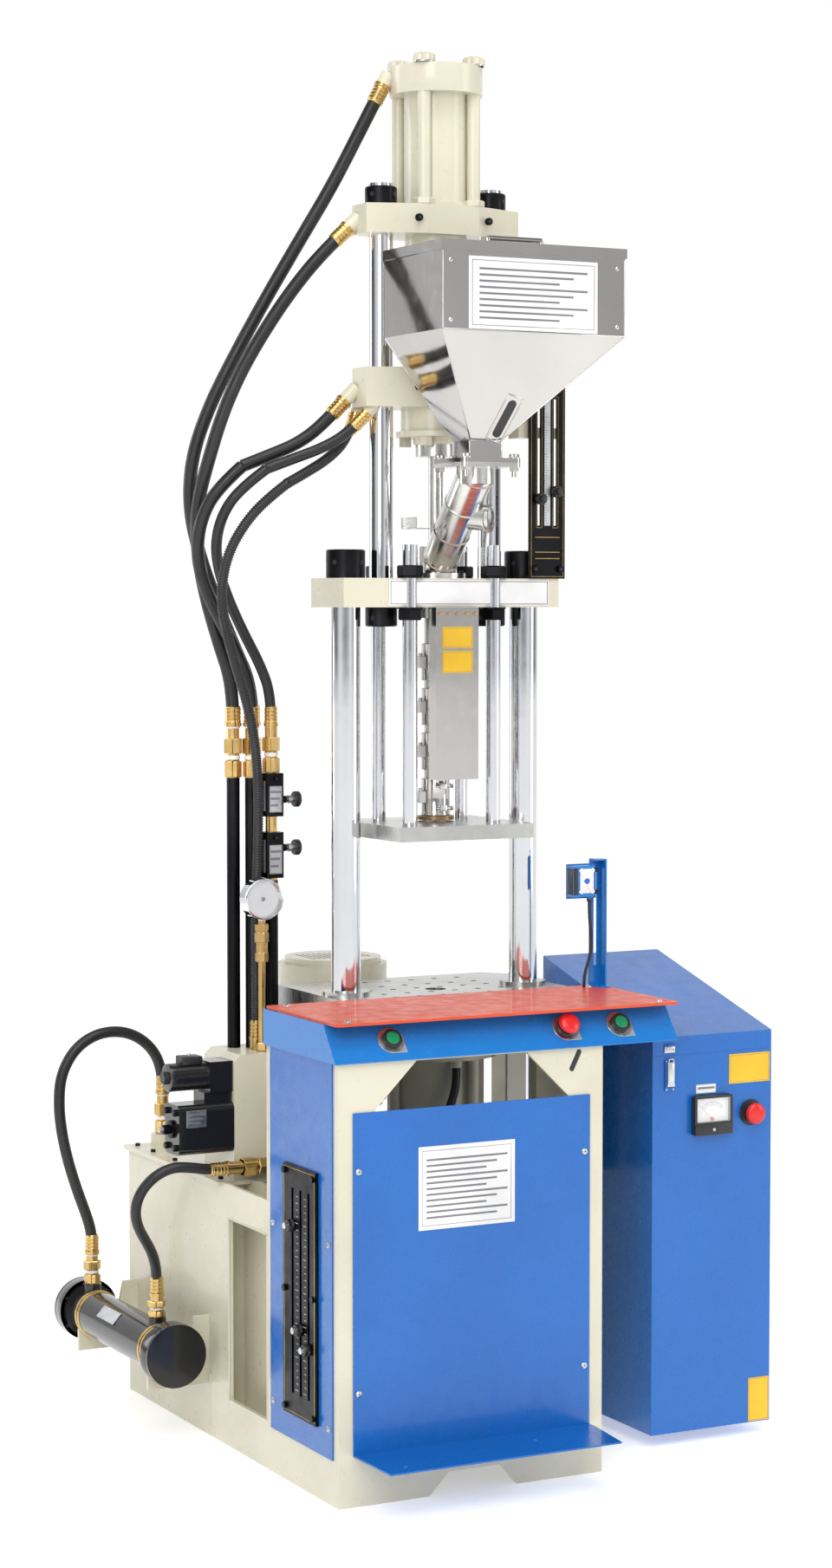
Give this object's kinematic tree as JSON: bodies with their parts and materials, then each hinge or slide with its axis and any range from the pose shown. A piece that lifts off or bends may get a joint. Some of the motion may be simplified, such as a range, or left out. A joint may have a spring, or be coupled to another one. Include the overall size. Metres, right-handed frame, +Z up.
{
  "type": "vertical injection moulding machine",
  "caption": "Vertical injection moulding machine with a work table, guide columns, an injection unit with a steel hopper over a heated barrel, an oil tank and a control cabinet.",
  "frame": {"origin": "middle of the footprint, on the floor", "axes": "+X to the machine's right, +Y to the back, +Z up"},
  "size_m": [1.1263, 1.125, 2.589],
  "materials": {
    "cream_paint": "satin enamel",
    "blue_paint": "gloss enamel",
    "orange_paint": "gloss enamel",
    "chrome": "hard chrome",
    "black_steel": "black oxide",
    "stainless": "satin polished",
    "machined_steel": "ground",
    "cast_grey": "painted casting",
    "brass": "machined",
    "black_rubber": "hydraulic hose cover",
    "black_plastic": "moulded",
    "gloss_black": "moulded",
    "green_plastic": "moulded",
    "red_plastic": "moulded",
    "silver_paint": "satin"
  },
  "bodies": {
    "base": {"base_frame": "cream_paint", "work_table": "machined_steel", "table_cover": "orange_paint", "front_trim": "blue_paint", "front_panel": "blue_paint", "side_panel": "blue_paint", "limit_plate": "black_steel", "cabinet_body": "blue_paint", "panel_devices": "black_plastic", "sensor": "blue_paint", "sensor_cable": "black_rubber", "clamp_cylinder": "cream_paint", "motor_pump": "cream_paint", "manifold_block": "cream_paint", "valve_stack": "gloss_black", "riser_pipes": "black_steel", "brass_fittings": "brass", "pressure_gauge": "chrome", "cooler": "gloss_black", "cooler_hose_front": "black_rubber", "cooler_hose_back": "black_rubber", "clamp_hose": "black_rubber", "cylinder_hose": "black_rubber", "top_plate_hose": "black_rubber", "motor_hose": "black_rubber", "motor_return_hose": "black_rubber", "wiring_conduit": "black_rubber"},
    "head": {"guide_columns": "chrome", "hanging_rods": "chrome", "column_nuts": "black_steel", "head_platen": "cream_paint", "mould_plate": "machined_steel", "barrel": "stainless", "barrel_shield": "stainless", "top_plate": "cream_paint", "injection_cylinder": "cream_paint", "crosshead": "cast_grey", "hopper": "stainless", "feed_pipe": "stainless", "scale_plate": "black_steel"},
    "hopper_lid": {"hopper_lid": "stainless"},
    "shut_off_slide": {"shut_off_slide": "stainless"},
    "scale_knob_left": {"scale_knob_left": "black_plastic"},
    "scale_knob_right": {"scale_knob_right": "black_plastic"},
    "carriage": {"carriage": "cream_paint", "hydraulic_motor": "cream_paint"},
    "screw": {"screw": "machined_steel"},
    "cabinet_lid": {"cabinet_lid": "blue_paint"},
    "latch_lever": {"latch_lever": "chrome"},
    "meter_needle": {"meter_needle": "red_plastic"},
    "start_button_left": {"start_button_left": "green_plastic"},
    "start_button_right": {"start_button_right": "green_plastic"},
    "stop_button_front": {"stop_button_front": "red_plastic"},
    "stop_button_cabinet": {"stop_button_cabinet": "red_plastic"},
    "limit_knob_1": {"limit_knob_1": "black_plastic"},
    "limit_knob_2": {"limit_knob_2": "black_plastic"},
    "limit_knob_3": {"limit_knob_3": "black_plastic"},
    "flow_knob_upper": {"flow_knob_upper": "silver_paint"},
    "flow_knob_lower": {"flow_knob_lower": "silver_paint"},
    "gauge_needle": {"gauge_needle": "black_plastic"}
  },
  "joints": [
    {"name": "clamp_slide", "type": "slide", "parent": "base", "child": "head", "axis": [0, 0, 1], "range_m": [-0.2, 0], "deforming": ["cylinder_hose", "top_plate_hose", "motor_hose", "motor_return_hose", "wiring_conduit"]},
    {"name": "injection_slide", "type": "slide", "parent": "head", "child": "carriage", "axis": [0, 0, 1], "range_m": [-0.12, 0.05], "deforming": ["motor_hose", "motor_return_hose", "wiring_conduit"]},
    {"name": "screw_spin", "type": "hinge", "parent": "carriage", "child": "screw", "pos_m": [0.0005, -0.0175, 1.5], "axis": [0, 0, 1], "continuous": true},
    {"name": "hopper_lid_hinge", "type": "hinge", "parent": "head", "child": "hopper_lid", "pos_m": [0.0005, -0.1075, 2.216], "axis": [-1, 0, 0], "range_deg": [0, 75]},
    {"name": "shut_off", "type": "slide", "parent": "head", "child": "shut_off_slide", "axis": [1, 0, 0], "range_m": [-0.05, 0]},
    {"name": "scale_knob_left_slide", "type": "slide", "parent": "head", "child": "scale_knob_left", "axis": [0, 0, 1], "range_m": [-0.04, 0.17]},
    {"name": "scale_knob_right_slide", "type": "slide", "parent": "head", "child": "scale_knob_right", "axis": [0, 0, 1], "range_m": [-0.055, 0.16]},
    {"name": "cabinet_lid_hinge", "type": "hinge", "parent": "base", "child": "cabinet_lid", "pos_m": [0.4215, 0.0845, 0.736], "axis": [-1, 0, 0], "range_deg": [0, 65]},
    {"name": "latch_hinge", "type": "hinge", "parent": "base", "child": "latch_lever", "pos_m": [0.3255, -0.3383, 0.681], "axis": [1, 0, 0], "range_deg": [0, 120]},
    {"name": "meter_needle_hinge", "type": "hinge", "parent": "base", "child": "meter_needle", "pos_m": [0.416, -0.3405, 0.612], "axis": [0, 1, 0], "range_deg": [0, 90], "stiffness_Nm_per_rad": 0.02},
    {"name": "gauge_needle_hinge", "type": "hinge", "parent": "base", "child": "gauge_needle", "pos_m": [-0.3035, 0.1035, 1.019], "axis": [0, 1, 0], "range_deg": [0, 270], "stiffness_Nm_per_rad": 0.02},
    {"name": "start_left_press", "type": "slide", "parent": "base", "child": "start_button_left", "axis": [0, 0.7985, -0.602], "range_m": [0, 0.004], "stiffness_N_per_m": 600, "springref_m": -0.003},
    {"name": "start_right_press", "type": "slide", "parent": "base", "child": "start_button_right", "axis": [0, 0.7985, -0.602], "range_m": [0, 0.004], "stiffness_N_per_m": 600, "springref_m": -0.003},
    {"name": "stop_front_press", "type": "slide", "parent": "base", "child": "stop_button_front", "axis": [0, 0.7985, -0.602], "range_m": [0, 0.006], "stiffness_N_per_m": 900, "springref_m": -0.004},
    {"name": "stop_cabinet_press", "type": "slide", "parent": "base", "child": "stop_button_cabinet", "axis": [0, 1, 0], "range_m": [0, 0.006], "stiffness_N_per_m": 900, "springref_m": -0.004},
    {"name": "limit_knob_1_slide", "type": "slide", "parent": "base", "child": "limit_knob_1", "axis": [0, 0, 1], "range_m": [-0.085, 0.27]},
    {"name": "limit_knob_2_slide", "type": "slide", "parent": "base", "child": "limit_knob_2", "axis": [0, 0, 1], "range_m": [-0.11, 0.24]},
    {"name": "limit_knob_3_slide", "type": "slide", "parent": "base", "child": "limit_knob_3", "axis": [0, 0, 1], "range_m": [-0.29, 0.06]},
    {"name": "flow_upper_turn", "type": "hinge", "parent": "base", "child": "flow_knob_upper", "pos_m": [-0.2425, 0.1495, 1.203], "axis": [1, 0, 0], "range_deg": [-360, 360]},
    {"name": "flow_lower_turn", "type": "hinge", "parent": "base", "child": "flow_knob_lower", "pos_m": [-0.2425, 0.1495, 1.111], "axis": [1, 0, 0], "range_deg": [-360, 360]}
  ]
}
